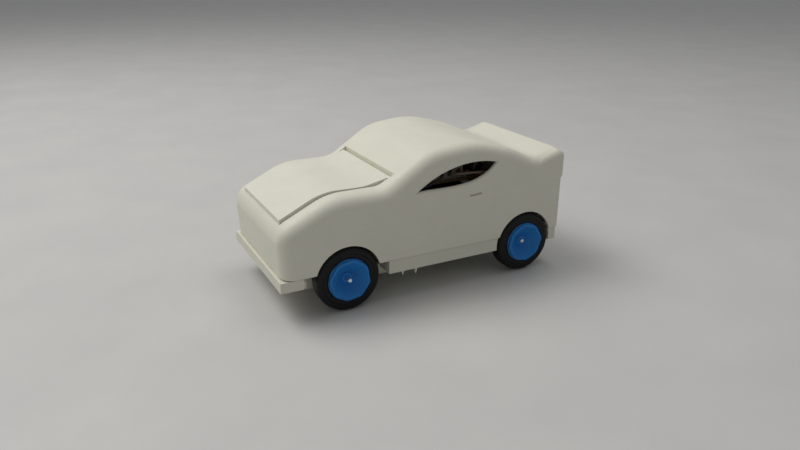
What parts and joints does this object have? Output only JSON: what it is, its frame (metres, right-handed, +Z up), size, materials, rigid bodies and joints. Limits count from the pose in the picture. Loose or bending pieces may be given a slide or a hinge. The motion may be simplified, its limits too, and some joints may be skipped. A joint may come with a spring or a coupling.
{
  "type": "robot car",
  "caption": "Small printed robot car with a lift-off body shell, hinged hood, free front wheels and two separately geared rear wheels",
  "frame": {"origin": "centre of the car's footprint on the floor the wheels stand on", "axes": "+Z up, nose toward -Y, the car's left side toward +X"},
  "size_m": [0.0764, 0.1546, 0.0725],
  "materials": {
    "white_print": "3D printed white PLA, fine layer lines, satin",
    "hood_print": "3D printed white PLA, satin",
    "tray_print": "3D printed white PLA, satin",
    "hub_blue": "blue printed plastic, satin",
    "tyre_rubber": "soft black rubber, smooth",
    "axle_steel": "ground steel rod",
    "pin_steel": "steel wire",
    "screw_steel": "zinc plated steel",
    "bush_brass": "turned brass",
    "pinion_brass": "hobbed brass",
    "gear_nylon": "natural nylon",
    "motor_steel": "drawn steel can",
    "motor_cap": "black moulded plastic",
    "holder_black": "black moulded plastic",
    "cell_wrap": "grey-blue shrink wrap, steel ends",
    "contact_steel": "nickel plated steel",
    "deck_black": "black laser-cut acrylic",
    "standoff_brass": "hex brass",
    "board_brown": "phenolic circuit board",
    "board_green": "solder-masked circuit board",
    "chip_black": "epoxy chip package",
    "sink_aluminium": "extruded aluminium",
    "terminal_grey": "grey-brown moulded plastic",
    "capacitor_sleeve": "black sleeve",
    "header_black": "black moulded plastic",
    "module_shield": "tinned shield can",
    "spacer_white": "nylon",
    "switch_case": "stamped steel",
    "switch_knob": "black plastic"
  },
  "bodies": {
    "chassis": {"battery_cell_left": "cell_wrap", "battery_cell_right": "cell_wrap", "battery_contacts": "contact_steel", "battery_holder": "holder_black", "chassis_tray": "tray_print", "controller_board": "board_green", "controller_headers": "header_black", "controller_screws": "screw_steel", "controller_standoffs": "standoff_brass", "deck_screws": "screw_steel", "deck_standoffs": "standoff_brass", "driver_board": "board_brown", "driver_chip": "chip_black", "driver_header": "header_black", "driver_spacers": "spacer_white", "front_axle_bushes": "bush_brass", "heat_sink": "sink_aluminium", "microcontroller_module": "module_shield", "motor_can_left": "motor_steel", "motor_can_right": "motor_steel", "motor_clamp": "holder_black", "motor_clamp_screws": "screw_steel", "motor_end_cap_left": "motor_cap", "motor_end_cap_right": "motor_cap", "power_switch_case": "switch_case", "rear_axle_bushes": "bush_brass", "supply_capacitors": "capacitor_sleeve", "terminal_blocks": "terminal_grey", "upper_deck": "deck_black", "usb_socket": "contact_steel"},
    "shell": {"body_shell": "white_print", "hood_hinge_pins": "pin_steel"},
    "hood": {"hood_lid": "hood_print"},
    "front_wheels": {"front_axle": "axle_steel", "front_axle_collars": "axle_steel", "hub_front_left": "hub_blue", "hub_front_right": "hub_blue", "tyre_front_left": "tyre_rubber", "tyre_front_right": "tyre_rubber"},
    "rear_left_wheel": {"rear_axle_left": "axle_steel", "hub_rear_left": "hub_blue", "tyre_rear_left": "tyre_rubber", "axle_gear_left": "gear_nylon"},
    "rear_right_wheel": {"rear_axle_right": "axle_steel", "hub_rear_right": "hub_blue", "tyre_rear_right": "tyre_rubber", "axle_gear_right": "gear_nylon"},
    "left_rotor": {"motor_shaft_left": "axle_steel", "motor_pinion_left": "pinion_brass"},
    "right_rotor": {"motor_shaft_right": "axle_steel", "motor_pinion_right": "pinion_brass"},
    "switch": {"power_switch_knob": "switch_knob"}
  },
  "joints": [
    {"name": "shell_lift", "type": "slide", "parent": "chassis", "child": "shell", "axis": [0, 0, 1], "range_m": [0, 0.06]},
    {"name": "hood_hinge", "type": "hinge", "parent": "shell", "child": "hood", "pos_m": [0, -0.0186, 0.0577], "axis": [-1, 0, 0], "range_deg": [0, 70]},
    {"name": "front_wheels_spin", "type": "hinge", "parent": "chassis", "child": "front_wheels", "pos_m": [0, -0.0445, 0.0159], "axis": [1, 0, 0], "continuous": true},
    {"name": "rear_left_spin", "type": "hinge", "parent": "chassis", "child": "rear_left_wheel", "pos_m": [0, 0.0555, 0.0159], "axis": [1, 0, 0], "continuous": true},
    {"name": "rear_right_spin", "type": "hinge", "parent": "chassis", "child": "rear_right_wheel", "pos_m": [0, 0.0555, 0.0159], "axis": [1, 0, 0], "continuous": true},
    {"name": "left_rotor_spin", "type": "hinge", "parent": "chassis", "child": "left_rotor", "pos_m": [0, 0.0455, 0.0159], "axis": [1, 0, 0], "continuous": true},
    {"name": "right_rotor_spin", "type": "hinge", "parent": "chassis", "child": "right_rotor", "pos_m": [0, 0.0455, 0.0159], "axis": [1, 0, 0], "continuous": true},
    {"name": "switch_slide", "type": "slide", "parent": "chassis", "child": "switch", "axis": [1, 0, 0], "range_m": [0, 0.002]}
  ],
  "couplings": [
    {"joint": "left_rotor_spin", "follows": "rear_left_spin", "ratio": -3},
    {"joint": "right_rotor_spin", "follows": "rear_right_spin", "ratio": -3}
  ]
}
